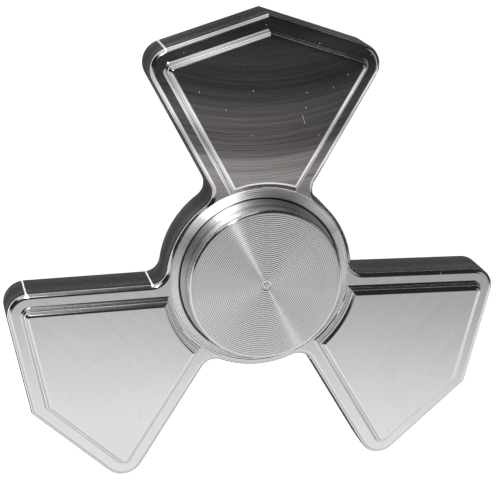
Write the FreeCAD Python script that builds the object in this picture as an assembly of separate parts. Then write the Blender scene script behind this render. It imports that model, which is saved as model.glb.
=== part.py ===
import FreeCAD, Part
import math
import os

# Three-arm machined metal fidget spinner, in millimetres.
# It lies flat: +Z is the spin axis, z = 0 is the face of the lower finger cap that it rests on.
# Arm 1 points along +Y and arms 2 and 3 follow at 120 degrees, counter-clockwise from above.

V = FreeCAD.Vector

# ---- driving dimensions ----
ARM_COUNT = 3
TIP_RADIUS = 34.0            # centre to the pointed end of an arm
SHOULDER_RADIUS = 33.0       # centre to the sharp corner that the shoulder rounding replaces
FLANK_HALF_ANGLE = 28.9      # degrees; the flanks are radial lines either side of the arm's axis
SHOULDER_ROUND = 2.8
HUB_RADIUS = 12.3
ROOT_ROUND = 2.0
PLATE_THICKNESS = 5.8
PLATE_EDGE_ROUND = 0.65

PAD_WALL_INSET = 1.95        # arm outline to the upright part of the raised pad's wall
PAD_HUB_WALL_RADIUS = 12.3   # the same wall on the side that faces the hub
PAD_HEIGHT = 1.2
PAD_TOP_ROUND = 0.72
PAD_COVE_RADIUS = 0.3

CAP_RADIUS = 10.0
CAP_PROUD = 3.2              # cap face above the hub face
CAP_EDGE_ROUND = 0.35
CAP_FLANGE_RADIUS = 10.4     # thin foot of a cap, which nearly fills the well
CAP_FLANGE_PROUD = 0.15
CAP_RUNNING_GAP = 0.3        # underside of a cap to the bearing's faces
CAP_WELL_RADIUS = 10.6       # shallow well in the hub round each cap
WELL_EDGE_CHAMFER = 0.15
CAP_BOSS_RADIUS = 4.05
SPIGOT_CLEARANCE = 0.01
SPIGOT_SPLIT_GAP = 0.1
STUD_RADIUS = 2.0
STUD_LENGTH = 4.2
STUD_HOLE_CLEARANCE = 0.04
STUD_HOLE_EXTRA = 0.4
STUD_TIP_CHAMFER = 0.4

# bearing of the quarter-inch bore, half-inch outside, three-sixteenths wide size
BEARING_WIDTH = 4.76
BEARING_OUTER_RADIUS = 6.35
BEARING_BORE_RADIUS = 3.175
BALL_COUNT = 10
BALL_RADIUS = 0.794
RACE_GROOVE_RADIUS = 0.83
BALL_PLAY = 0.012
INNER_LAND_RADIUS = 4.15
OUTER_LAND_RADIUS = 5.35
RACE_CHAMFER = 0.2
SHIELD_SEAT_HALF = 1.75      # shoulder that a shield sits on, from the mid plane
SHIELD_SEAT_RADIUS = 5.75
SHIELD_THICKNESS = 0.2
SHIELD_BORE_RADIUS = 4.27
CLIP_GROOVE_RADIUS = 5.97
CLIP_GROOVE_WIDTH = 0.25
CLIP_INNER_RADIUS = 5.58
CLIP_AXIAL_PLAY = 0.02
CLIP_GAP = 2.2
CAGE_HALF_THICKNESS = 0.34
CAGE_POCKET_CLEARANCE = 0.055
CAGE_BACK = 1.3
CAGE_PRONG = 0.38

# ---- sizes that follow ----
MID_Z = CAP_PROUD + PLATE_THICKNESS / 2
HALF_PLATE = PLATE_THICKNESS / 2
HALF_BEARING = BEARING_WIDTH / 2
PITCH_RADIUS = (BEARING_OUTER_RADIUS + BEARING_BORE_RADIUS) / 2
HALF_ANGLE = math.radians(FLANK_HALF_ANGLE)
SHOULDER_X = SHOULDER_RADIUS * math.sin(HALF_ANGLE)
SHOULDER_Y = SHOULDER_RADIUS * math.cos(HALF_ANGLE)
ROOF_ANGLE = math.atan2(TIP_RADIUS - SHOULDER_Y, SHOULDER_X)
AXIS_UP = V(0, 0, 1)


def polar(radius, angle):
    """Point at an angle measured clockwise from +Y."""
    return V(radius * math.sin(angle), radius * math.cos(angle), 0)


def mirrored(point):
    return V(-point.x, point.y, point.z)


def round_corner(before, corner, after, radius):
    """Start, middle and end of the arc that rounds a corner."""
    to_before = (before - corner).normalize()
    to_after = (after - corner).normalize()
    half = math.acos(to_before.dot(to_after)) / 2
    reach = radius / math.tan(half)
    bisector = (to_before + to_after).normalize()
    middle = corner + bisector * (radius / math.sin(half) - radius)
    return corner + to_before * reach, middle, corner + to_after * reach


def line(start, end):
    return Part.LineSegment(start, end).toShape()


def arc(start, middle, end):
    return Part.Arc(start, middle, end).toShape()


def revolve(points):
    """Full ring from a closed outline given as (radius, z) pairs about the mid plane."""
    corners = [V(r, 0, z) for r, z in points]
    face = Part.Face(Part.makePolygon(corners + corners[:1]))
    return face.revolve(V(0, 0, 0), AXIS_UP, 360)


def flipped(shape):
    """Turn a shape over about the X axis, from the upper side to the lower one."""
    turned = shape.copy()
    turned.rotate(V(0, 0, 0), V(1, 0, 0), 180)
    return turned


# ---- spinner body ----
def arm_edges():
    """Outline of one arm, from its right root on the hub round to its left root."""
    root_centre_radius = HUB_RADIUS + ROOT_ROUND
    root_reach = math.sqrt(root_centre_radius ** 2 - ROOT_ROUND ** 2)
    root_angle = HALF_ANGLE + math.asin(ROOT_ROUND / root_centre_radius)
    root_centre = polar(root_centre_radius, root_angle)
    root_start = polar(HUB_RADIUS, root_angle)
    root_end = polar(root_reach, HALF_ANGLE)
    inwards = ((root_start + root_end) * 0.5 - root_centre).normalize()
    root_middle = root_centre + inwards * ROOT_ROUND
    shoulder = V(SHOULDER_X, SHOULDER_Y, 0)
    tip = V(0, TIP_RADIUS, 0)
    bend_start, bend_middle, bend_end = round_corner(root_end, shoulder, tip, SHOULDER_ROUND)
    right = [
        (root_start, root_middle, root_end),
        (root_end, bend_start),
        (bend_start, bend_middle, bend_end),
        (bend_end, tip),
    ]
    left = [tuple(mirrored(p) for p in reversed(points)) for points in reversed(right)]
    edges = []
    for points in right + left:
        edges.append(arc(*points) if len(points) == 3 else line(*points))
    return edges, root_angle


def plate():
    """Hub and arms as one flat plate with rounded outer edges."""
    edges, root_angle = arm_edges()
    step = 2 * math.pi / ARM_COUNT
    outline = []
    for index in range(ARM_COUNT):
        turn = -math.degrees(index * step)
        for edge in edges:
            turned = edge.copy()
            turned.rotate(V(0, 0, 0), AXIS_UP, turn)
            outline.append(turned)
        start = index * step - root_angle
        end = (index - 1) * step + root_angle
        hub_arc = arc(polar(HUB_RADIUS, start), polar(HUB_RADIUS, (start + end) / 2), polar(HUB_RADIUS, end))
        outline.append(hub_arc)
    wire = Part.Wire(Part.__sortEdges__(outline))
    solid = Part.Face(wire).extrude(V(0, 0, PLATE_THICKNESS))
    solid.translate(V(0, 0, -HALF_PLATE))
    rims = [e for e in solid.Edges if abs(abs(e.CenterOfMass.z) - HALF_PLATE) < 1e-6]
    return solid.makeFillet(PLATE_EDGE_ROUND, rims)


def pad():
    """Raised pad on the upper face of the first arm, without the cove round its foot."""
    side = V(math.cos(HALF_ANGLE), -math.sin(HALF_ANGLE), 0)
    along = math.sqrt(PAD_HUB_WALL_RADIUS ** 2 - PAD_WALL_INSET ** 2)
    near = polar(along, HALF_ANGLE) - side * PAD_WALL_INSET
    tip = V(0, TIP_RADIUS - PAD_WALL_INSET / math.cos(ROOF_ANGLE), 0)
    flank = polar(1, HALF_ANGLE)
    roof = V(math.cos(ROOF_ANGLE), -math.sin(ROOF_ANGLE), 0)
    gap = near - tip
    reach = (gap.x * flank.y - gap.y * flank.x) / (roof.x * flank.y - roof.y * flank.x)
    corner = tip + roof * reach
    bend_start, bend_middle, bend_end = round_corner(near, corner, tip, SHOULDER_ROUND - PAD_WALL_INSET)
    edges = [
        line(near, bend_start),
        arc(bend_start, bend_middle, bend_end),
        line(bend_end, tip),
        line(tip, mirrored(bend_end)),
        arc(mirrored(bend_end), mirrored(bend_middle), mirrored(bend_start)),
        line(mirrored(bend_start), mirrored(near)),
        arc(mirrored(near), V(0, PAD_HUB_WALL_RADIUS, 0), near),
    ]
    wire = Part.Wire(Part.__sortEdges__(edges))
    solid = Part.Face(wire).extrude(V(0, 0, PAD_HEIGHT))
    solid.translate(V(0, 0, HALF_PLATE))
    rim_z = HALF_PLATE + PAD_HEIGHT
    rim = [e for e in solid.Edges if abs(e.CenterOfMass.z - rim_z) < 1e-6]
    return solid.makeFillet(PAD_TOP_ROUND, rim)


def spinner_body():
    body = plate()
    upper = pad()
    for index in range(ARM_COUNT):
        for piece in (upper, flipped(upper)):
            turned = piece.copy()
            if piece is not upper:
                turned.rotate(V(0, 0, 0), AXIS_UP, 180)
            turned.rotate(V(0, 0, 0), AXIS_UP, index * 360 / ARM_COUNT)
            body = body.fuse(turned)
    body = body.removeSplitter()
    feet = []
    for edge in body.Edges:
        centre = edge.CenterOfMass
        on_face = abs(abs(centre.z) - HALF_PLATE) < 1e-6 and edge.BoundBox.ZLength < 1e-6
        faces = body.ancestorsOfType(edge, Part.Face)
        highest = max(max(f.BoundBox.ZMax, -f.BoundBox.ZMin) for f in faces)
        if on_face and highest > HALF_PLATE + PAD_COVE_RADIUS / 2:
            feet.append(edge)
    body = body.makeFillet(PAD_COVE_RADIUS, feet)
    bore = Part.makeCylinder(BEARING_OUTER_RADIUS, PLATE_THICKNESS + 2, V(0, 0, -HALF_PLATE - 1))
    body = body.cut(bore)
    well_depth = HALF_PLATE - HALF_BEARING
    well = revolve([
        (0, HALF_BEARING),
        (CAP_WELL_RADIUS, HALF_BEARING),
        (CAP_WELL_RADIUS, HALF_PLATE - WELL_EDGE_CHAMFER),
        (CAP_WELL_RADIUS + WELL_EDGE_CHAMFER + well_depth, HALF_PLATE + well_depth),
        (0, HALF_PLATE + well_depth),
    ])
    return body.cut(well).cut(flipped(well))


# ---- bearing ----
def outer_race():
    groove_centre = PITCH_RADIUS + BALL_RADIUS + BALL_PLAY - RACE_GROOVE_RADIUS
    upper = [
        (OUTER_LAND_RADIUS, SHIELD_SEAT_HALF),
        (SHIELD_SEAT_RADIUS, SHIELD_SEAT_HALF),
        (SHIELD_SEAT_RADIUS, SHIELD_SEAT_HALF + SHIELD_THICKNESS),
        (CLIP_GROOVE_RADIUS, SHIELD_SEAT_HALF + SHIELD_THICKNESS),
        (CLIP_GROOVE_RADIUS, SHIELD_SEAT_HALF + SHIELD_THICKNESS + CLIP_GROOVE_WIDTH),
        (SHIELD_SEAT_RADIUS, SHIELD_SEAT_HALF + SHIELD_THICKNESS + CLIP_GROOVE_WIDTH),
        (SHIELD_SEAT_RADIUS, HALF_BEARING),
        (BEARING_OUTER_RADIUS - RACE_CHAMFER, HALF_BEARING),
        (BEARING_OUTER_RADIUS, HALF_BEARING - RACE_CHAMFER),
    ]
    lower = [(r, -z) for r, z in reversed(upper)]
    return revolve(upper + lower).cut(Part.makeTorus(groove_centre, RACE_GROOVE_RADIUS))


def inner_race():
    groove_centre = PITCH_RADIUS - BALL_RADIUS - BALL_PLAY + RACE_GROOVE_RADIUS
    ring = revolve([
        (BEARING_BORE_RADIUS, RACE_CHAMFER - HALF_BEARING),
        (BEARING_BORE_RADIUS + RACE_CHAMFER, -HALF_BEARING),
        (INNER_LAND_RADIUS, -HALF_BEARING),
        (INNER_LAND_RADIUS, HALF_BEARING),
        (BEARING_BORE_RADIUS + RACE_CHAMFER, HALF_BEARING),
        (BEARING_BORE_RADIUS, HALF_BEARING - RACE_CHAMFER),
    ])
    return ring.cut(Part.makeTorus(groove_centre, RACE_GROOVE_RADIUS))


def ball(index):
    place = polar(PITCH_RADIUS, 2 * math.pi * index / BALL_COUNT)
    return Part.makeSphere(BALL_RADIUS, place)


def cage():
    """Crown retainer: a ring under the balls with prongs that reach up between them."""
    ring = revolve([
        (PITCH_RADIUS - CAGE_HALF_THICKNESS, -CAGE_BACK),
        (PITCH_RADIUS + CAGE_HALF_THICKNESS, -CAGE_BACK),
        (PITCH_RADIUS + CAGE_HALF_THICKNESS, CAGE_PRONG),
        (PITCH_RADIUS - CAGE_HALF_THICKNESS, CAGE_PRONG),
    ])
    for index in range(BALL_COUNT):
        place = polar(PITCH_RADIUS, 2 * math.pi * index / BALL_COUNT)
        ring = ring.cut(Part.makeSphere(BALL_RADIUS + CAGE_POCKET_CLEARANCE, place))
    return ring


def shield():
    seat = SHIELD_SEAT_HALF
    return revolve([
        (SHIELD_BORE_RADIUS, seat),
        (SHIELD_SEAT_RADIUS, seat),
        (SHIELD_SEAT_RADIUS, seat + SHIELD_THICKNESS),
        (SHIELD_BORE_RADIUS, seat + SHIELD_THICKNESS),
    ])


def shield_clip():
    """Split spring ring that snaps into the outer race's groove and holds a shield down."""
    bottom = SHIELD_SEAT_HALF + SHIELD_THICKNESS
    top = bottom + CLIP_GROOVE_WIDTH - CLIP_AXIAL_PLAY
    ring = revolve([
        (CLIP_INNER_RADIUS, bottom),
        (CLIP_GROOVE_RADIUS, bottom),
        (CLIP_GROOVE_RADIUS, top),
        (CLIP_INNER_RADIUS, top),
    ])
    opening = Part.makeBox(CLIP_GAP, BEARING_OUTER_RADIUS, BEARING_WIDTH, V(-CLIP_GAP / 2, 0, 0))
    return ring.cut(opening)


# ---- finger caps ----
def cap_blank(spigot_end):
    """Button disc on a thin flange, with the boss and spigot that locate it in the inner race."""
    underside = HALF_BEARING + CAP_RUNNING_GAP
    face = HALF_PLATE + CAP_PROUD
    disc = Part.makeCylinder(CAP_RADIUS, face - underside, V(0, 0, underside))
    rim = [e for e in disc.Edges if abs(e.CenterOfMass.z - face) < 1e-6 and e.Closed]
    disc = disc.makeFillet(CAP_EDGE_ROUND, rim)
    flange_height = HALF_PLATE + CAP_FLANGE_PROUD - underside
    flange = Part.makeCylinder(CAP_FLANGE_RADIUS, flange_height, V(0, 0, underside))
    spigot_radius = BEARING_BORE_RADIUS - SPIGOT_CLEARANCE
    stem = revolve([
        (0, spigot_end),
        (spigot_radius, spigot_end),
        (spigot_radius, HALF_BEARING),
        (CAP_BOSS_RADIUS, HALF_BEARING),
        (CAP_BOSS_RADIUS, underside),
        (0, underside),
    ])
    return disc.fuse(flange).fuse(stem).removeSplitter()


def top_cap():
    """Upper button, with the stud that screws into the lower one."""
    start = SPIGOT_SPLIT_GAP / 2
    stud = revolve([
        (0, start - STUD_LENGTH),
        (STUD_RADIUS - STUD_TIP_CHAMFER, start - STUD_LENGTH),
        (STUD_RADIUS, start - STUD_LENGTH + STUD_TIP_CHAMFER),
        (STUD_RADIUS, start),
        (0, start),
    ])
    return cap_blank(start).fuse(stud).removeSplitter()


def bottom_cap():
    """Lower button, with the tapped hole for the upper one's stud."""
    start = SPIGOT_SPLIT_GAP / 2
    depth = STUD_LENGTH + STUD_HOLE_EXTRA
    hole = Part.makeCylinder(STUD_RADIUS + STUD_HOLE_CLEARANCE, depth, V(0, 0, start))
    return flipped(cap_blank(start).cut(hole))


def build():
    parts = {
        "spinner_body": spinner_body(),
        "bearing_outer_race": outer_race(),
        "bearing_inner_race": inner_race(),
        "ball_cage": cage(),
        "shield_top": shield(),
        "shield_bottom": flipped(shield()),
        "shield_clip_top": shield_clip(),
        "shield_clip_bottom": flipped(shield_clip()),
        "top_cap": top_cap(),
        "bottom_cap": bottom_cap(),
    }
    for index in range(BALL_COUNT):
        parts["ball_%d" % (index + 1)] = ball(index)
    return parts


def export(parts):
    os.makedirs("parts", exist_ok=True)
    for name, shape in parts.items():
        solid = shape.Solids[0]
        solid.translate(V(0, 0, MID_Z))
        solid.exportStep("parts/%s.step" % name)
        print("%-20s valid %s volume %.4f mm3" % (name, solid.isValid(), solid.Volume))


export(build())
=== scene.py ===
import math

import bpy
from mathutils import Matrix, Vector


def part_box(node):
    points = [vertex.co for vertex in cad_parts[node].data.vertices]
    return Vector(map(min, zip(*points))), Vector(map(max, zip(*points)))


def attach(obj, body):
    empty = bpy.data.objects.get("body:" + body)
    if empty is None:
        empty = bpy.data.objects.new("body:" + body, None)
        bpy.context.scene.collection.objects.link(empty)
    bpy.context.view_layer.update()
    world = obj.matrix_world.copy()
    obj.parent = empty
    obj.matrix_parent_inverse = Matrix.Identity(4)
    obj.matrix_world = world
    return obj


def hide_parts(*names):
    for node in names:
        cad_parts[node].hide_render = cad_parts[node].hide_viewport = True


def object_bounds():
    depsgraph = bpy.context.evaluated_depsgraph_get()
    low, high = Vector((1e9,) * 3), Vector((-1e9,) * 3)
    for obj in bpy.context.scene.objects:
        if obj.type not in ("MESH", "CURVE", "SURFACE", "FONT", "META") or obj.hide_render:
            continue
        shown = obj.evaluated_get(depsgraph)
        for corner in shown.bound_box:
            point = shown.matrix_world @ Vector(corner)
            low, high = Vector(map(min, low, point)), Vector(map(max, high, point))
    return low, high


# Three-arm machined aluminium fidget spinner on a pale studio floor. Metres, +Z up, z = 0 is the floor.
# Arm 1 points along +Y; the arms repeat every third of a turn round the Z axis.

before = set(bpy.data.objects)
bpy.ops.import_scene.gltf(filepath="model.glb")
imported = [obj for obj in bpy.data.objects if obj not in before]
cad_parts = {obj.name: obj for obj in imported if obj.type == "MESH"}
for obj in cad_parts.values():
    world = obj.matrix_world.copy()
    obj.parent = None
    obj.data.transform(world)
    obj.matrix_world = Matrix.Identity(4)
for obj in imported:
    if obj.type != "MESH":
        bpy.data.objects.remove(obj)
cad_low, cad_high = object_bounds()

# ---- sizes taken from the frame ----
MM = 0.001
_, body_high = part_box("spinner_body")
cap_low, cap_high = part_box("top_cap")
REACH = body_high.y                      # centre to the tip of an arm
MID_Z = (cad_low.z + cad_high.z) / 2
PAD_HEIGHT = 1.2 * MM
HUB_FACE_Z = body_high.z - PAD_HEIGHT
ARM_STEP = 2 * math.pi / 3

# ---- camera ----
SENSOR_WIDTH = 36.0
LENS = 107.04
VIEW_AZIMUTH = 126.24                    # degrees, counter-clockwise from +X
VIEW_ELEVATION = 66.50
VIEW_ROLL = 143.14
VIEW_DISTANCE = 5.5095 * REACH
NEAREST = 0.01                           # what the camera can see, from here
FARTHEST = 10                            # to here
AIM_POINT = Vector((-0.0519 * REACH, 0.1468 * REACH, HUB_FACE_Z))


def polar_direction(azimuth, elevation):
    """Unit vector at an azimuth from +X and an elevation, both in degrees."""
    a, e = math.radians(azimuth), math.radians(elevation)
    return Vector((math.cos(a) * math.cos(e), math.sin(a) * math.cos(e), math.sin(e)))


def make_camera():
    back = polar_direction(VIEW_AZIMUTH, VIEW_ELEVATION)
    level_right = Vector((0, 0, 1)).cross(back).normalized()
    right = Matrix.Rotation(math.radians(VIEW_ROLL), 3, back) @ level_right
    up = back.cross(right)
    axes = Matrix((right, up, back)).transposed()
    data = bpy.data.cameras.new("camera")
    data.sensor_width = SENSOR_WIDTH
    data.lens = LENS
    data.clip_start = NEAREST
    data.clip_end = FARTHEST
    data.dof.use_dof = False
    camera = bpy.data.objects.new("camera", data)
    camera.matrix_world = Matrix.Translation(AIM_POINT + back * VIEW_DISTANCE) @ axes.to_4x4()
    bpy.context.scene.collection.objects.link(camera)
    bpy.context.scene.camera = camera


# ---- helpers for nodes and meshes ----
class Graph:
    """Short ways to add shader nodes and link them."""

    def __init__(self, tree):
        self.tree = tree
        tree.nodes.clear()

    def node(self, kind, **settings):
        made = self.tree.nodes.new(kind)
        for name, value in settings.items():
            setattr(made, name, value)
        return made

    def put(self, socket, value):
        if isinstance(value, bpy.types.NodeSocket):
            self.tree.links.new(value, socket)
        else:
            socket.default_value = value

    def math(self, operation, *values):
        made = self.node("ShaderNodeMath", operation=operation)
        for socket, value in zip(made.inputs, values):
            self.put(socket, value)
        return made.outputs[0]

    def vector(self, operation, *values):
        made = self.node("ShaderNodeVectorMath", operation=operation)
        for socket, value in zip(made.inputs, values):
            self.put(socket, value)
        return made.outputs["Value" if operation in ("DOT_PRODUCT", "LENGTH") else "Vector"]

    def combine(self, x, y, z=0.0):
        made = self.node("ShaderNodeCombineXYZ")
        for socket, value in zip(made.inputs, (x, y, z)):
            self.put(socket, value)
        return made.outputs[0]

    def separate(self, vector):
        made = self.node("ShaderNodeSeparateXYZ")
        self.put(made.inputs[0], vector)
        return made.outputs

    def ramp(self, value, low, high, start=0.0, end=1.0, smooth=True):
        """Value mapped from low..high to start..end, held at both ends."""
        kind = "SMOOTHSTEP" if smooth else "LINEAR"
        made = self.node("ShaderNodeMapRange", interpolation_type=kind, clamp=True)
        for socket, number in zip(made.inputs, (value, low, high, start, end)):
            self.put(socket, number)
        return made.outputs[0]

    def noise(self, vector, scale, detail=2.0, roughness=0.5):
        made = self.node("ShaderNodeTexNoise")
        self.put(made.inputs["Vector"], vector)
        self.put(made.inputs["Scale"], scale)
        self.put(made.inputs["Detail"], detail)
        self.put(made.inputs["Roughness"], roughness)
        return made.outputs["Fac"]

    def mix(self, factor, first, second):
        """Blend of two numbers."""
        made = self.node("ShaderNodeMix", data_type="FLOAT")
        self.put(made.inputs[0], factor)
        self.put(made.inputs[2], first)
        self.put(made.inputs[3], second)
        return made.outputs[0]

    def mix_colour(self, factor, first, second):
        made = self.node("ShaderNodeMix", data_type="RGBA")
        self.put(made.inputs[0], factor)
        self.put(made.inputs[6], first)
        self.put(made.inputs[7], second)
        return made.outputs[2]

    def total(self, *values):
        result = values[0]
        for value in values[1:]:
            result = self.math("ADD", result, value)
        return result

    def product(self, *values):
        result = values[0]
        for value in values[1:]:
            result = self.math("MULTIPLY", result, value)
        return result

    def scaled(self, value, factor):
        return self.math("MULTIPLY", value, factor)

    def weighted(self, mixture, *values):
        """The mixture's plain level, plus each value times its share."""
        plain, *shares = mixture
        return self.total(plain, *(self.scaled(value, share) for value, share in zip(values, shares)))


def new_material(name, metallic=1.0):
    """Material with its node graph and shader."""
    material = bpy.data.materials.new(name)
    material.use_nodes = True
    g = Graph(material.node_tree)
    shader = g.node("ShaderNodeBsdfPrincipled")
    shader.inputs["Metallic"].default_value = metallic
    g.put(g.node("ShaderNodeOutputMaterial").inputs[0], shader.outputs[0])
    return material, g, shader


def mesh_object(name, vertices, faces):
    """New mesh in the scene, as an object of its own."""
    mesh = bpy.data.meshes.new(name)
    mesh.from_pydata(vertices, [], faces)
    mesh.update()
    made = bpy.data.objects.new(name, mesh)
    bpy.context.scene.collection.objects.link(made)
    return made


# ---- studio: floor, light ----
FLOOR_RADIUS = 4.0
CARD_RADIUS = 1.75 * REACH
CARD_FAR_REACH = 12 * REACH              # it runs on this far between the next two azimuths
CARD_FAR_FROM = -12
CARD_FAR_TO = 78
CARD_LIFT = 0.05 * MM
SHEET_STEP = 3                           # degrees between the corners of the floor and the card
FLOOR_LOOK = (0.8, 1.0)                  # grey and glow
CARD_LOOK = (0.05, 0.05)
SHEET_ROUGHNESS = 0.9
KEY_AZIMUTH = -97.6                      # side of the sky that the tops of the arms mirror
KEY_SPAN = (0.15, 0.65)                  # tangent of the angle from straight up, over places 0 to 1
KEY_STOPS = (                            # place in the span, and the light there
    (0.04, 0.02),
    (0.10, 0.025),
    (0.124, 0.075),
    (0.15, 0.07),
    (0.18, 0.025),
    (0.198, 0.15),
    (0.214, 0.29),
    (0.30, 0.36),
    (0.40, 0.44),
    (0.46, 0.58),
    (0.52, 0.70),
    (0.56, 0.80),
    (0.60, 0.87),
    (0.70, 0.90),
)
DIM_LEVEL = 0.4                          # stops below this have the tint
WARM = (1.05, 0.985, 0.96)
LOW_SKY = (0.6, 0.6, 0.6, 1)
LOW_SKY_SPAN = (0.75, 1.2)               # the same tangent, where the panel gives way to the low sky
LOW_PANELS = (                           # azimuth, lowest and highest elevation, light
    (109, 10, 58, 0.7),
    (0, 38, 60, 0.5),
)
PANEL_EDGE = 5                           # half-width of their soft edges, in degrees
PANEL_SIDES = (0.3, 0.6)                 # tangent of the angle off their middle, where they fade out
LEAST_AHEAD = 0.001                      # keep the tangents finite behind a panel and at the horizon
LEAST_UP = 0.02
BACKDROP = (0.95, 0.95, 0.95, 1)         # what the camera sees past the floor
FLASH_AZIMUTH = 112
FLASH_ELEVATION = 61
FLASH_RADIUS = 2 * MM
FLASH_RADIANCE = 4500


def soft_edge(elevation):
    """Where a panel's edge at this elevation starts and ends, in radians."""
    return math.radians(elevation - PANEL_EDGE), math.radians(elevation + PANEL_EDGE)


def low_panel(g, direction, up, azimuth, lowest, highest, level):
    """Light of a soft-edged panel that stands below the zenith, 0 outside it."""
    ahead = g.vector("DOT_PRODUCT", direction, polar_direction(azimuth, 0))
    ahead = g.math("MAXIMUM", ahead, LEAST_AHEAD)
    aside = g.math("ABSOLUTE", g.vector("DOT_PRODUCT", direction, polar_direction(azimuth + 90, 0)))
    rise = g.math("ARCTANGENT", g.math("DIVIDE", up, ahead))
    foot = g.ramp(rise, *soft_edge(lowest))
    top = g.ramp(rise, *soft_edge(highest), 1.0, 0.0)
    wide = g.ramp(g.math("DIVIDE", aside, ahead), *PANEL_SIDES, 1.0, 0.0)
    return g.product(foot, top, wide, level)


def key_panel(g, tangent):
    """Light of the big panel, from its dim upper edge down to its bright middle."""
    ramp = g.node("ShaderNodeValToRGB")
    g.put(ramp.inputs[0], g.ramp(tangent, *KEY_SPAN, smooth=False))
    stops = ramp.color_ramp.elements
    while len(stops) < len(KEY_STOPS):
        stops.new(1.0)
    for stop, (place, level) in zip(stops, KEY_STOPS):
        stop.position = place
        tint = WARM if level < DIM_LEVEL else (1, 1, 1)
        stop.color = (*(level * part for part in tint), 1)
    return ramp.outputs[0]


def make_light():
    """Soft studio sky: a big panel on one side with a soft upper edge, and darkness overhead."""
    world = bpy.data.worlds.new("studio")
    bpy.context.scene.world = world
    world.use_nodes = True
    g = Graph(world.node_tree)
    direction = g.node("ShaderNodeTexCoord").outputs["Generated"]
    up = g.math("MAXIMUM", g.separate(direction)[2], LEAST_UP)
    sideways = g.vector("DOT_PRODUCT", direction, polar_direction(KEY_AZIMUTH, 0))
    tangent = g.math("DIVIDE", sideways, up)
    sky = g.mix_colour(g.ramp(tangent, *LOW_SKY_SPAN), key_panel(g, tangent), LOW_SKY)
    for place in LOW_PANELS:
        panel = low_panel(g, direction, up, *place)
        sky = g.vector("MAXIMUM", sky, g.combine(panel, panel, panel))
    background = g.node("ShaderNodeBackground")
    g.put(background.inputs["Color"], sky)
    backdrop = g.node("ShaderNodeBackground")
    backdrop.inputs["Color"].default_value = BACKDROP
    mix = g.node("ShaderNodeMixShader")
    g.put(mix.inputs[0], g.node("ShaderNodeLightPath").outputs["Is Camera Ray"])
    g.put(mix.inputs[1], background.outputs[0])
    g.put(mix.inputs[2], backdrop.outputs[0])
    g.put(g.node("ShaderNodeOutputWorld").inputs[0], mix.outputs[0])
    bpy.context.scene.view_settings.view_transform = "Standard"


def make_flash():
    """Small lamp near the camera that gives the thin glints on edges and turned faces."""
    data = bpy.data.lights.new("flash", "AREA")
    data.shape = "DISK"
    data.size = 2 * FLASH_RADIUS
    data.energy = FLASH_RADIANCE * math.pi * math.pi * FLASH_RADIUS ** 2
    flash = bpy.data.objects.new("flash", data)
    away = polar_direction(FLASH_AZIMUTH, FLASH_ELEVATION)
    flash.location = Vector((0, 0, HUB_FACE_Z)) + away * VIEW_DISTANCE
    flash.rotation_mode = "QUATERNION"
    flash.rotation_quaternion = away.to_track_quat("Z", "Y")
    flash.visible_camera = False
    flash.visible_diffuse = False
    bpy.context.scene.collection.objects.link(flash)


def sheet(name, z, reach_at):
    """Flat sheet round the Z axis. reach_at gives its reach at an azimuth in degrees."""
    corners = []
    for degrees in range(-180, 180, SHEET_STEP):
        x, y, _ = polar_direction(degrees, 0) * reach_at(degrees)
        corners.append((x, y, z))
    made = mesh_object(name, corners, [tuple(range(len(corners)))])
    return made


def card_reach(degrees):
    """The card is round, with one sector that runs on far."""
    return CARD_FAR_REACH if CARD_FAR_FROM <= degrees <= CARD_FAR_TO else CARD_RADIUS


def stage_material(name, grey, glow):
    """Matt material with a glow of its own."""
    material, _, shader = new_material(name, metallic=0.0)
    shader.inputs["Base Color"].default_value = (grey, grey, grey, 1)
    shader.inputs["Roughness"].default_value = SHEET_ROUGHNESS
    shader.inputs["Specular IOR Level"].default_value = 0.0
    shader.inputs["Emission Color"].default_value = (1, 1, 1, 1)
    shader.inputs["Emission Strength"].default_value = glow
    return material


def make_stage():
    """Pale floor, and a dark card on it that only mirrors see, which keeps the side walls dark."""
    floor = sheet("floor", 0.0, lambda degrees: FLOOR_RADIUS)
    floor.data.materials.append(stage_material("pale_floor", *FLOOR_LOOK))
    card = sheet("dark_card", CARD_LIFT, card_reach)
    card.data.materials.append(stage_material("dark_card", *CARD_LOOK))
    card.visible_camera = False
    card.visible_diffuse = False
    card.visible_transmission = False
    card.visible_shadow = False


# ---- materials, with lengths in millimetres where no unit is given ----
CUTTER_RADIUS = 32.0                     # arc of the marks that the face cutter left across each arm
CUTTER_OFFSET = -1.5
PAINTED_BAND_PLACE = 14.2                        # painted reflection: arm 1's colour has three wide lighter and darker bands, standing in for bands of mirrored light
PAINTED_BAND_PITCH = 7.3
PAINTED_BAND_DEPTH = 0.24
FAINT_ARMS = 0.45                        # strength of the marks on arms 2 and 3 against arm 1
ARM_SEED = 7.3                           # step in the noise from arm to arm, so that their marks differ
TURNED_RADIUS = 11.95                    # the hub's face inside this is turned, not milled
TURNED_BLEND = (0.9, 0.1)                # width of its soft edge, away from arm 1 and at it
TURNED_BLEND_SPAN = (0.0, 0.75)          # cosine of the angle from arm 1 over which the width changes
TURNED_PITCH = 0.25
TURNED_TILT = 0.42                       # how far its normal leans on the slope of a ring
EDGE_BLUR = 0.1
WELL_RADIUS = 10.55                      # painted shade: the colour is darkened inside this radius, standing in for the shadow in the well round the cap
PAINTED_WELL_SHADE = 0.15
FLANK_ANGLE = math.radians(28.9)
FLANK_SEAMS = (14.0, 29.9)               # places along a flank where the flank cut stops, from the centre
ROOF_SEAM = math.radians(23.0)           # the same for the sloping end, as an angle off the arm's axis
SEAM_REACH = math.radians(4.0)           # how far off the flank's angle its seams are drawn
SEAM_WIDTH = 0.2
SEAM_RISE = 1.6                          # how far the normal leans up on a seam
MIDDLE = MID_Z / MM
PLATE_HALF = (2.7, 2.9)                  # height off the middle where the plate's walls end
DRAG_IN = (0.0, 1.7)                     # height off the middle where the drag on the walls grows
DRAG_OUT = (2.0, 2.4)                    # and where it fades out again
FLAT_SLOPE = (0.75, 0.95)                # upright part of the normal, from sloping to flat

SHORTEST_NICK = 0.4                      # share of the stated length; the longest is 1 more

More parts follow.
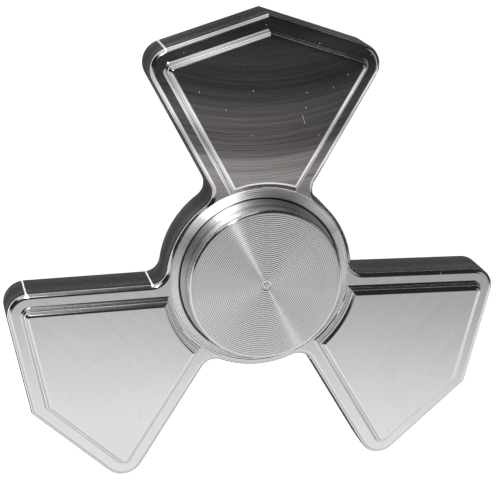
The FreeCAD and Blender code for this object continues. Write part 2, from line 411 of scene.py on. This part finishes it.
# Scratches and specks: shift of the pattern, spacing, length, width, and share of the cells with one.
NICKS = (
    ((0, 0, 0), 5.0, 1.8, 0.12, 0.12),
    ((31, 17, 0), 3.1, 0.9, 0.10, 0.08),
    ((7, 53, 0), 1.7, 0.2, 0.2, 0.07),
)
CAP_NICKS = (((0, 0, 0), 2.7, 0.7, 0.1, 0.15),)

# Noises: waves per millimetre, detail, roughness.
COARSE_MARKS = (0.7, 1.0)
MEDIUM_MARKS = (2.6, 2.0, 0.6)
FINE_MARKS = (9.0, 1.0, 0.6)
WALL_MARKS = (3.0, 3.0, 0.6)
WALL_DRAG = (2.0, 3.0, 0.6)
BODY_CLOUD = (0.12, 3.0)
CAP_CHATTER = (3.0, 3.0)
CAP_CLOUD = (0.25, 2.0)
STEEL_CLOUD = (0.8, 2.0)
STEEL_MARKS = (2.0, 0.6)                 # detail and roughness only
MARK_STRETCH = 0.03                      # share of a noise's pace along its marks
WALL_STRETCH = 0.06
DRAG_STRETCH = 0.1

# Mixes: the plain level, then the share of each layer in the order that the material gives them.
CUTTER_HEIGHT = (0.0, 2.8, 0.8, 0.2)
WALL_HEIGHT = 2.0
BODY_SHADE = (0.76, 0.06, 0.10, 0.08)
BODY_ROUGHNESS = (0.08, 0.05, 0.3, 0.2, 0.5)
TURNED_ROUGHNESS = (0.26, 0.1)
BODY_TONE = (1.0, 0.985, 0.995)
BODY_BUMP = 0.003 * MM                   # in metres, as Blender takes it
CAP_FOOT = (3.3, 3.1)                    # height off the middle where the cap's foot begins
CAP_SHADE = (0.78, 0.10, 0.08)
CAP_ROUGHNESS = (0.14, 0.04, 0.2, 0.35)
CAP_TONE = (1.0, 0.99, 0.99)
ACROSS_THE_RINGS = 0.25                  # turn of the anisotropy off the tangent
STEEL_SHADE = (0.85, 0.2, 0.1)
STEEL_MARK_SHARE = 0.1
FINE_BUMP = 0.002 * MM
STEELS = {                               # tone, roughness, marks per millimetre
    "race": ((0.60, 0.60, 0.61), 0.12, 14.0),
    "shield": ((0.55, 0.55, 0.56), 0.25, 8.0),
    "clip": ((0.45, 0.45, 0.46), 0.30, 10.0),
    "cage": ((0.50, 0.49, 0.46), 0.28, 6.0),
    "ball": ((0.68, 0.68, 0.70), 0.05, 5.0),
}


def object_point(g):
    """Place on the part in millimetres."""
    place = g.node("ShaderNodeTexCoord").outputs["Object"]
    return g.vector("MULTIPLY", place, (1 / MM, 1 / MM, 1 / MM))


def radius_at(g, x, y):
    return g.vector("LENGTH", g.combine(x, y))


def bumped(g, height, distance, normal=None):
    """Normal with the height's relief on it."""
    bump = g.node("ShaderNodeBump")
    bump.inputs["Distance"].default_value = distance
    g.put(bump.inputs["Height"], height)
    if normal:
        g.put(bump.inputs["Normal"], normal)
    return bump.outputs[0]


def tinted(g, shade, tone):
    return g.combine(*(g.scaled(shade, part) for part in tone))


def arm_point(g, x, y, radius):
    """The same place turned into the first arm, across it and along it, and which arm it is on."""
    angle = g.math("SUBTRACT", g.math("ARCTAN2", y, x), math.pi / 2)
    arm = g.math("ROUND", g.math("DIVIDE", angle, ARM_STEP))
    turn = g.math("SUBTRACT", angle, g.scaled(arm, ARM_STEP))
    across = g.scaled(g.math("MULTIPLY", radius, g.math("SINE", turn)), -1)
    along = g.math("MULTIPLY", radius, g.math("COSINE", turn))
    return across, along, arm


def scratch_layer(g, point, spacing, length, width, share):
    """Short straight scratches scattered at every angle: 1 on a scratch, 0 off it."""
    flat_point = g.vector("MULTIPLY", point, (1 / spacing, 1 / spacing, 0))
    cells = g.node("ShaderNodeTexVoronoi", voronoi_dimensions="2D")
    g.put(cells.inputs["Vector"], flat_point)
    cells.inputs["Scale"].default_value = 1.0
    away = g.vector("SUBTRACT", flat_point, cells.outputs["Position"])
    chance, turn, size = g.separate(cells.outputs["Color"])
    rotate = g.node("ShaderNodeVectorRotate", rotation_type="Z_AXIS")
    g.put(rotate.inputs["Vector"], away)
    g.put(rotate.inputs["Angle"], g.scaled(turn, 2 * math.pi))
    x, y, _ = g.separate(rotate.outputs[0])
    half_length = g.scaled(g.total(SHORTEST_NICK, size), length / spacing / 2)
    along = g.math("LESS_THAN", g.math("ABSOLUTE", x), half_length)
    across = g.ramp(g.math("ABSOLUTE", y), 0.0, width / spacing / 2, 1.0, 0.0)
    chosen = g.math("GREATER_THAN", chance, 1 - share)
    return g.product(along, across, chosen)


def nicked(g, point, layers):
    """All the scratch layers together."""
    result = 0.0
    for shift, *layer in layers:
        shifted = g.vector("ADD", point, shift)
        result = g.math("MAXIMUM", result, scratch_layer(g, shifted, *layer))
    return result


def cutter_marks_and_painted_bands(g, across, along, arm):
    """Coarse, medium and fine arc-shaped marks, and the wide lighter and darker bands of painted reflection
    on arm 1.
    """
    offset = g.math("SUBTRACT", across, CUTTER_OFFSET)
    bow = g.scaled(g.math("POWER", offset, 2), 0.5 / CUTTER_RADIUS)
    feed = g.math("SUBTRACT", along, bow)
    place = g.combine(feed, g.scaled(across, MARK_STRETCH), g.scaled(arm, ARM_SEED))
    marks = [g.noise(place, *kind) for kind in (COARSE_MARKS, MEDIUM_MARKS, FINE_MARKS)]
    # painted reflection: lighter and darker bands across arm 1, standing in for bands of mirrored light
    wave = g.math("COSINE", g.scaled(g.math("SUBTRACT", feed, PAINTED_BAND_PLACE), 2 * math.pi / PAINTED_BAND_PITCH))
    depth = g.ramp(g.math("ABSOLUTE", arm), 0.0, 1.0, PAINTED_BAND_DEPTH, 0.0)
    return marks, g.product(wave, depth)


def turned_face(g, y, radius, flat):
    """1 on the turned face of the hub, 0 on the milled faces and the walls."""
    towards_arm_1 = g.math("DIVIDE", y, radius)
    blend = g.ramp(towards_arm_1, *TURNED_BLEND_SPAN, *TURNED_BLEND)
    inside = g.ramp(radius, g.math("SUBTRACT", TURNED_RADIUS, blend), TURNED_RADIUS + EDGE_BLUR, 1.0, 0.0)
    return g.product(inside, flat)


def leaning_normal(g, radius, turned, seams):
    """Surface normal leaning in and out with the rings of the turned face, and upwards on a seam."""
    geometry = g.node("ShaderNodeNewGeometry")
    x, y, _ = g.separate(geometry.outputs["Position"])
    outwards = g.vector("NORMALIZE", g.combine(x, y))
    wave = g.math("SINE", g.scaled(radius, 2 * math.pi / TURNED_PITCH))
    lean = g.product(g.scaled(wave, TURNED_TILT), turned)
    ring = g.vector("MULTIPLY", outwards, g.combine(lean, lean, lean))
    rise = g.combine(0.0, 0.0, g.scaled(seams, SEAM_RISE))
    return g.vector("NORMALIZE", g.vector("ADD", geometry.outputs["Normal"], g.vector("ADD", ring, rise)))


def wall_seams(g, across, along, radius, on_wall):
    """Thin upright lines on the walls where the straight cuts run into the rounds."""
    angle = g.math("ARCTAN2", across, along)
    off_flank = g.math("ABSOLUTE", g.math("SUBTRACT", angle, FLANK_ANGLE))
    on_flank = g.math("LESS_THAN", off_flank, SEAM_REACH)
    lines = []
    for place in FLANK_SEAMS:
        away = g.math("ABSOLUTE", g.math("SUBTRACT", radius, place))
        lines.append(g.product(g.ramp(away, 0.0, SEAM_WIDTH, 1.0, 0.0), on_flank))
    away = g.product(g.math("ABSOLUTE", g.math("ADD", angle, ROOF_SEAM)), radius)
    lines.append(g.ramp(away, 0.0, SEAM_WIDTH, 1.0, 0.0))
    return g.product(g.total(*lines), on_wall)


def wall_roughness(g, x, y, z, off_middle, on_wall):
    """Level drag marks on the walls, kept off the middle and off the edge rounds."""
    place = g.combine(g.scaled(x, DRAG_STRETCH), g.scaled(y, DRAG_STRETCH), z)
    near_edge = g.product(g.ramp(off_middle, *DRAG_IN), g.ramp(off_middle, *DRAG_OUT, 1.0, 0.0))
    return g.product(on_wall, near_edge, g.noise(place, *WALL_DRAG))


def machined_body_material():
    """Face-milled aluminium: arc-shaped cutter marks on each arm, upright marks on the walls."""
    material, g, shader = new_material("machined_aluminium")
    point = object_point(g)
    x, y, z = g.separate(point)
    radius = radius_at(g, x, y)
    across, along, arm = arm_point(g, x, y, radius)
    marks, painted_bands = cutter_marks_and_painted_bands(g, across, along, arm)
    medium = marks[1]

    upright = g.separate(g.node("ShaderNodeNewGeometry").outputs["Normal"])[2]
    flat = g.ramp(g.math("ABSOLUTE", upright), *FLAT_SLOPE)
    off_middle = g.math("ABSOLUTE", g.math("SUBTRACT", z, MIDDLE))
    on_plate = g.ramp(off_middle, *PLATE_HALF, 1.0, 0.0)
    on_wall = g.product(on_plate, g.math("SUBTRACT", 1.0, flat))
    turned = turned_face(g, y, radius, flat)
    seams = wall_seams(g, across, along, radius, on_wall)
    nicks = g.product(nicked(g, point, NICKS), flat)

    faintness = g.ramp(g.math("ABSOLUTE", arm), 0.0, 1.0, 1.0, FAINT_ARMS)
    flat_height = g.product(g.weighted(CUTTER_HEIGHT, *marks), faintness)
    wall_marks = g.noise(g.combine(x, y, g.scaled(z, WALL_STRETCH)), *WALL_MARKS)
    height = g.mix(flat, g.scaled(wall_marks, WALL_HEIGHT), flat_height)
    normal = leaning_normal(g, radius, turned, seams)
    g.put(shader.inputs["Normal"], bumped(g, height, BODY_BUMP, normal))

    shade = g.weighted(BODY_SHADE, medium, g.noise(point, *BODY_CLOUD), turned)
    # painted shade: the well round the cap is coloured dark, standing in for the shadow in the gap
    painted_well_shade = g.ramp(radius, WELL_RADIUS, WELL_RADIUS + EDGE_BLUR, PAINTED_WELL_SHADE, 1.0)
    # the painted reflection bands on arm 1 and the painted shade in the well both go into the colour here
    shade = g.product(shade, g.total(painted_bands, 1.0), painted_well_shade)
    g.put(shader.inputs["Base Color"], tinted(g, shade, BODY_TONE))

    drag = wall_roughness(g, x, y, z, off_middle, on_wall)
    milled_rough = g.weighted(BODY_ROUGHNESS, medium, nicks, seams, drag)
    turned_rough = g.weighted(TURNED_ROUGHNESS, medium)
    g.put(shader.inputs["Roughness"], g.mix(turned, milled_rough, turned_rough))
    return material


def turned_cap_material():
    """Lathe-turned aluminium. The rings are in the mesh; this adds tool chatter and cloudiness."""
    material, g, shader = new_material("turned_aluminium")
    point = object_point(g)
    x, y, z = g.separate(point)
    chatter = g.noise(g.combine(radius_at(g, x, y), 0.0, z), *CAP_CHATTER)
    foot = g.ramp(g.math("ABSOLUTE", g.math("SUBTRACT", z, MIDDLE)), *CAP_FOOT)
    shade = g.weighted(CAP_SHADE, chatter, g.noise(point, *CAP_CLOUD))
    g.put(shader.inputs["Base Color"], tinted(g, shade, CAP_TONE))
    rough = g.weighted(CAP_ROUGHNESS, chatter, nicked(g, point, CAP_NICKS), foot)
    g.put(shader.inputs["Roughness"], rough)
    tangent = g.node("ShaderNodeTangent", direction_type="RADIAL", axis="Z")
    g.put(shader.inputs["Tangent"], tangent.outputs[0])
    shader.inputs["Anisotropic"].default_value = 1.0
    shader.inputs["Anisotropic Rotation"].default_value = ACROSS_THE_RINGS
    g.put(shader.inputs["Normal"], bumped(g, chatter, FINE_BUMP))
    return material


def steel_material(kind):
    """Ground or stamped steel with fine marks round the axis."""
    tone, roughness, mark_scale = STEELS[kind]
    material, g, shader = new_material(kind + "_steel")
    point = object_point(g)
    x, y, z = g.separate(point)
    marks = g.noise(g.combine(radius_at(g, x, y), z), mark_scale, *STEEL_MARKS)
    shade = g.weighted(STEEL_SHADE, marks, g.noise(point, *STEEL_CLOUD))
    g.put(shader.inputs["Base Color"], tinted(g, shade, tone))
    g.put(shader.inputs["Roughness"], g.weighted((roughness, STEEL_MARK_SHARE), marks))
    g.put(shader.inputs["Normal"], bumped(g, marks, FINE_BUMP))
    return material


# ---- finger caps: lathe-turned, with their rings as real grooves ----
CAP_SEGMENTS = 256
RING_PITCH = 0.25 * MM
RING_DEPTH = 0.017 * MM
RING_FADE = 0.3                          # share of the depth lost towards the edge
PIP_RADIUS = 0.35 * MM                   # untouched spot at the centre, with a deeper ring round it
PIP_RING_RADIUS = 0.6 * MM
PIP_RING_DEPTH = 0.014 * MM
RING_STEPS = 4                           # steps across one ring
SHARP_ANGLE = math.radians(30)           # edges sharper than this stay sharp
EDGE_STEPS = 6
CAP_EDGE_ROUND = 0.35 * MM               # from here down, the outline of the CAD caps
CAP_RADIUS = 10.0 * MM
FLANGE_TOP = HUB_FACE_Z + 0.15 * MM
UNDERSIDE = MID_Z + 2.68 * MM
BOSS_RADIUS = 4.05 * MM
BEARING_FACE = MID_Z + 2.38 * MM
SPIGOT_RADIUS = 3.16 * MM
SPIGOT_END = MID_Z + 0.05 * MM
STUD_RADIUS = 2.0 * MM
STUD_CHAMFER = 0.4 * MM
STUD_HOLE_RADIUS = 2.04 * MM
STUD_HOLE_END = MID_Z + 4.65 * MM


def face_rings():
    """Radius and height along the turned face, from the centre out, as shallow scoops with sharp crests."""
    points = []
    count = int((CAP_RADIUS - CAP_EDGE_ROUND) / RING_PITCH) * RING_STEPS
    for index in range(count):
        radius = index * RING_PITCH / RING_STEPS
        side = 2 * (index % RING_STEPS) / RING_STEPS - 1
        depth = RING_DEPTH * (1 - side * side) * (1 - RING_FADE * radius / CAP_RADIUS)
        if PIP_RADIUS < radius < PIP_RING_RADIUS:
            depth += PIP_RING_DEPTH
        points.append((radius, cap_high.z - depth))
    return points


def rounded_edge():
    """Radius and height round the edge of the turned face, from its flat to its wall."""
    centre_radius = CAP_RADIUS - CAP_EDGE_ROUND
    centre_z = cap_high.z - CAP_EDGE_ROUND
    points = []
    for index in range(EDGE_STEPS + 1):
        turn = math.pi / 2 * index / EDGE_STEPS
        radius = centre_radius + CAP_EDGE_ROUND * math.sin(turn)
        points.append((radius, centre_z + CAP_EDGE_ROUND * math.cos(turn)))
    return points


def cap_profile(has_stud):
    """Outline of an upper cap as (radius, z), from the centre of its face round to the axis below."""
    points = face_rings() + rounded_edge()
    points += [
        (CAP_RADIUS, FLANGE_TOP),
        (cap_high.x, FLANGE_TOP),
        (cap_high.x, UNDERSIDE),
        (BOSS_RADIUS, UNDERSIDE),
        (BOSS_RADIUS, BEARING_FACE),
        (SPIGOT_RADIUS, BEARING_FACE),
        (SPIGOT_RADIUS, SPIGOT_END),
    ]
    if has_stud:
        points += [
            (STUD_RADIUS, SPIGOT_END),
            (STUD_RADIUS, cap_low.z + STUD_CHAMFER),
            (STUD_RADIUS - STUD_CHAMFER, cap_low.z),
            (0, cap_low.z),
        ]
    else:
        points += [
            (STUD_HOLE_RADIUS, SPIGOT_END),
            (STUD_HOLE_RADIUS, STUD_HOLE_END),
            (0, STUD_HOLE_END),
        ]
    return points


def lathe(name, profile):
    """Mesh turned round the Z axis from an outline that starts and ends on the axis."""
    vertices = [(0, 0, profile[0][1])]
    for radius, z in profile[1:-1]:
        for index in range(CAP_SEGMENTS):
            turn = 2 * math.pi * index / CAP_SEGMENTS
            vertices.append((radius * math.cos(turn), radius * math.sin(turn), z))
    vertices.append((0, 0, profile[-1][1]))
    last = len(vertices) - 1
    rings = len(profile) - 2
    faces = []
    for index in range(CAP_SEGMENTS):
        after = (index + 1) % CAP_SEGMENTS
        faces.append((0, 1 + index, 1 + after))
        for ring in range(rings - 1):
            upper = 1 + ring * CAP_SEGMENTS
            lower = upper + CAP_SEGMENTS
            faces.append((upper + index, lower + index, lower + after, upper + after))
        bottom = 1 + (rings - 1) * CAP_SEGMENTS
        faces.append((bottom + index, last, bottom + after))
    made = mesh_object(name, vertices, faces)
    for polygon in made.data.polygons:
        polygon.use_smooth = True
    made.data.set_sharp_from_angle(angle=SHARP_ANGLE)
    return made


def make_caps(material):
    upper = lathe("top_cap_turned", cap_profile(has_stud=True))
    lower = lathe("bottom_cap_turned", cap_profile(has_stud=False))
    turn_over = Matrix.Translation((0, 0, MID_Z)) @ Matrix.Rotation(math.pi, 4, "X")
    lower.data.transform(turn_over @ Matrix.Translation((0, 0, -MID_Z)))
    for piece, node in ((upper, "top_cap"), (lower, "bottom_cap")):
        piece.data.materials.append(material)
        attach(piece, "held_core")
        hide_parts(node)


def dress(node, material):
    """Give a CAD part its material."""
    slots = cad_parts[node].data.materials
    slots.clear()
    slots.append(material)


def steel_kind(name):
    """Which steel a bearing part is made of."""
    if name == "ball_cage":
        return "cage"
    if name.startswith("shield_clip"):
        return "clip"
    if name.endswith("_race"):
        return "race"
    return name.split("_")[0]


def dress_parts():
    steels = {kind: steel_material(kind) for kind in STEELS}
    dress("spinner_body", machined_body_material())
    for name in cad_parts:
        if name.startswith(("bearing", "ball", "shield")):
            dress(name, steels[steel_kind(name)])


make_camera()
make_light()
make_flash()
make_stage()
dress_parts()
make_caps(turned_cap_material())
